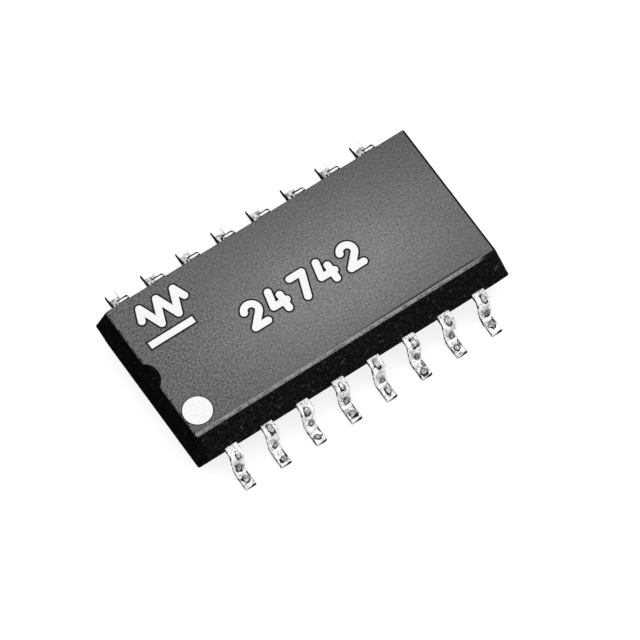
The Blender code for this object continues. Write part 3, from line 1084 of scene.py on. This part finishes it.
def merge(pieces, name):
    """Joins overlapping strokes into one solid."""
    whole = pieces[0]
    for extra in pieces[1:]:
        use_modifier(whole, "BOOLEAN", operation="UNION", solver="EXACT", object=extra)
        bpy.data.objects.remove(extra, do_unlink=True)
    whole.name = name
    whole.data.name = name
    return whole


def finish_print(piece, material):
    """Shrinks a drawn shape to its true size, lays it on the epoxy and inks it."""
    piece.scale = (MM, MM, MM)
    piece.location = (0, 0, INK_LOW)
    freeze(piece)
    bpy.ops.object.shade_flat()
    piece.data.materials.clear()
    piece.data.materials.append(material)
    finish_piece(piece, "white_ink")


# Centre lines of the numbers, in mm, about the middle of a number one millimetre tall.
STROKES = {
    "2": [arc((0, 0.16), 0.23, 165, -30) + [(-0.20, -0.38)], [(-0.20, -0.38), (0.24, -0.38)]],
    "4": [[(-0.12, 0.39), (-0.24, -0.12)], [(-0.24, -0.12), (0.22, -0.12)],
          [(0.13, 0.13), (0.13, -0.39)]],
    "7": [[(-0.21, 0.38), (0.22, 0.38)], [(0.22, 0.38), (-0.06, -0.40)]],
}
PEN_RADIUS = 0.115
NUMBER_ROW = "24742"
NUMBER_START = (-1.78, -0.13)
NUMBER_STEP = 0.858


def draw_number(index, grow, rise, name):
    middle_x = NUMBER_START[0] + index * NUMBER_STEP
    drawn = []
    for order, path in enumerate(STROKES[NUMBER_ROW[index]]):
        placed = [(middle_x + x, NUMBER_START[1] + y) for x, y in path]
        drawn.append(pen_stroke(placed, PEN_RADIUS + grow, rise, order))
    return merge(drawn, name)


for index in range(len(NUMBER_ROW)):
    finish_print(draw_number(index, RIM_WIDTH, RIM_RISE, f"number_rim_{index + 1}"), ink_shade_rim)
    finish_print(draw_number(index, 0, INK_RISE, f"number_{index + 1}"), ink)
print("numbers drawn:", len(NUMBER_ROW))

# %% [markdown]
# The dot is a disc and the bar a plain strip. The zigzag is drawn with the same pen as the
# numbers, one straight stroke after another. Each shape is made twice: once a little larger
# and lower for its dark rim of painted shade, and once in white.

# %% Dot, zigzag and bar
DOT_PLACE = (-4.900, -1.771)
DOT_RADIUS = 0.455
BAR_LEFT, BAR_RIGHT = -4.90, -3.34
BAR_MIDDLE = 0.775
BAR_HEIGHT = 0.225
ZIGZAG = [(-4.66, 1.58), (-4.50, 1.97), (-4.20, 1.19), (-3.90, 1.97), (-3.60, 1.19),
          (-3.30, 1.97), (-3.14, 1.58)]


def draw_dot(grow, rise, name):
    disc = new_piece(bpy.ops.mesh.primitive_circle_add, vertices=72, fill_type="NGON",
                     radius=DOT_RADIUS + grow / 2, location=(*DOT_PLACE, 0))
    disc.name = name
    freeze(disc)
    thicken(disc, rise)
    return disc


def draw_bar(grow, rise, name):
    strip = new_piece(bpy.ops.mesh.primitive_plane_add, size=1,
                      location=((BAR_LEFT + BAR_RIGHT) / 2, BAR_MIDDLE, 0))
    strip.name = name
    strip.scale = (BAR_RIGHT - BAR_LEFT + 2 * grow, BAR_HEIGHT + 2 * grow, 1)
    freeze(strip)
    thicken(strip, rise)
    return strip


def draw_zigzag(grow, rise, name):
    strokes = [pen_stroke(pair, PEN_RADIUS + grow, rise, order)
               for order, pair in enumerate(zip(ZIGZAG, ZIGZAG[1:]))]
    return merge(strokes, name)


for draw, name in ((draw_dot, "lead_1_dot"), (draw_bar, "mark_bar"), (draw_zigzag, "zigzag_mark")):
    finish_print(draw(RIM_WIDTH, RIM_RISE, f"{name}_rim"), ink_shade_rim)
    finish_print(draw(0, INK_RISE, name), ink)
print("dot, zigzag and bar drawn")

# %% [markdown]
# ## Inside the epoxy
#
# The printed circuit can't be seen, but it is there, and someone may lift the body off. The
# CAD nodes have the right shapes, so they stay and only get real finishes: fired ceramic,
# palladium silver, the dark resistor print, a green glaze, and the solder of the joints.

# %% Materials of the circuit


def fired_print(name, low, high, per_mm, metallic, roughness, coat=0.0):
    """A printed and fired layer: two tones of one paste in a fine screen-cloth grain."""
    material = start_material(name)
    grain = noise(material, per_mm, detail=4.0, roughness=0.6)
    set_shader(material, colour=blend(material, between(material, grain, 0.3, 0.7), low, high),
               metallic=metallic, coat=coat, coat_roughness=0.08,
               roughness=between(material, grain, 0.3, 0.7, roughness - 0.06, roughness + 0.06))
    emboss(material, grain, 0.004 * MM, 0.5)
    return material


CIRCUIT = {
    "alumina_substrate": fired_print("fired alumina", (0.80, 0.79, 0.76), (0.88, 0.87, 0.84),
                                     18.0, 0.0, 0.58),
    "conductor_pad": fired_print("palladium silver print", (0.60, 0.58, 0.54),
                                 (0.76, 0.74, 0.70), 22.0, 1.0, 0.42),
    "resistor_film": fired_print("resistor print", (0.035, 0.030, 0.030),
                                 (0.075, 0.065, 0.062), 16.0, 0.0, 0.50),
    "glass_overcoat": fired_print("green glaze", (0.035, 0.13, 0.07), (0.06, 0.19, 0.11),
                                  5.0, 0.0, 0.28, coat=0.5),
    "solder_joint": fired_print("joint solder", (0.62, 0.62, 0.61), (0.84, 0.84, 0.83),
                                8.0, 1.0, 0.26),
}
dressed = 0
for name, node in sorted(frame["nodes"].items()):
    for start, finish in CIRCUIT.items():
        if name.startswith(start):
            for slot_item in node.material_slots:
                slot_item.material = finish
            dressed += 1
print("circuit nodes dressed:", dressed)

# %% [markdown]
# ## Floor, light and camera
#
# The part lies on a plain white floor in even, bright surroundings, like a tent of white
# cloth, so the solder mirrors white from every side. A broad softbox hangs over it, and a
# fill from the front lifts the front edge and the leads. The floor glows faintly for the
# camera and in reflections, just enough to carry its white to the paper's white, and it
# still takes the part's shadow.

# %% Floor
FLOOR_HALF = 1.5
FLOOR_GLOW = 0.79


def floor_paper():
    material = start_material("floor paper")
    tooth = noise(material, 1.5, detail=3.0)
    set_shader(material, roughness=0.9, gloss=0.1,
               colour=blend(material, tooth, grey(0.27), grey(0.25)))
    path = add_node(material, "ShaderNodeLightPath")
    seen = plus(material, *(path.outputs[f"Is {kind} Ray"]
                            for kind in ("Camera", "Glossy", "Transmission")))
    glow = times(material, sums(material, "MINIMUM", seen, 1.0), FLOOR_GLOW)
    shader_of(material).inputs["Emission Color"].default_value = (1, 1, 1, 1)
    wire(material, glow, shader_of(material).inputs["Emission Strength"])
    return material


floor = new_piece(bpy.ops.mesh.primitive_plane_add, size=2 * FLOOR_HALF, location=(0, 0, 0))
floor.name = "floor"
floor.data.materials.append(floor_paper())
print("floor made")

# %% Lamps and surroundings
SURROUND_TONE = 0.70


def soft_lamp(name, azimuth, elevation, distance, size, radiance):
    """A square lamp that looks at the part; its power follows from its brightness."""
    a, e = math.radians(azimuth), math.radians(elevation)
    towards = Vector((math.sin(a) * math.cos(e), -math.cos(a) * math.cos(e), math.sin(e)))
    lamp = new_piece(bpy.ops.object.light_add, type="AREA", location=towards * distance)
    lamp.name = name
    lamp.data.shape = "SQUARE"
    lamp.data.size = size
    lamp.data.energy = math.pi * size * size * radiance
    lamp.rotation_euler = towards.to_track_quat("Z", "Y").to_euler()


soft_lamp("overhead softbox", azimuth=150, elevation=80, distance=0.45, size=0.75, radiance=1.25)
soft_lamp("front fill", azimuth=10, elevation=32, distance=0.50, size=0.45, radiance=1.15)

world = bpy.data.worlds.new("studio")
bpy.context.scene.world = world
world.use_nodes = True
surroundings = world.node_tree.nodes["Background"]
surroundings.inputs["Color"].default_value = (*grey(SURROUND_TONE), 1)
surroundings.inputs["Strength"].default_value = 1.0
print("lamps set")

# %% [markdown]
# The camera looks down steeply with a long lens, so the part keeps almost parallel edges.
# Its three directions and its distance were worked out from the part's known corners.

# %% Camera
camera_right = Vector((0.828323, -0.559996, -0.016901))
camera_up = Vector((0.513150, 0.746232, 0.424047))
camera_back = Vector((-0.224853, -0.359921, 0.905482))
CAMERA_PLACE = Vector((-45.99 * MM, -74.56 * MM, 186.55 * MM))
LENS_MM = 385.26
SENSOR_MM = 36.0
camera = new_piece(bpy.ops.object.camera_add)
camera.name = "camera"
turn = Matrix((camera_right, camera_up, camera_back)).transposed().to_4x4()
camera.matrix_world = Matrix.Translation(CAMERA_PLACE) @ turn
camera.data.lens = LENS_MM
camera.data.sensor_width = SENSOR_MM
camera.data.clip_start = 0.01
camera.data.clip_end = 10.0
bpy.context.scene.camera = camera
bpy.context.scene.view_settings.view_transform = "Standard"
print("camera", round((camera.location - Vector((0, 0, PARTING_Z))).length, 4), "m away")
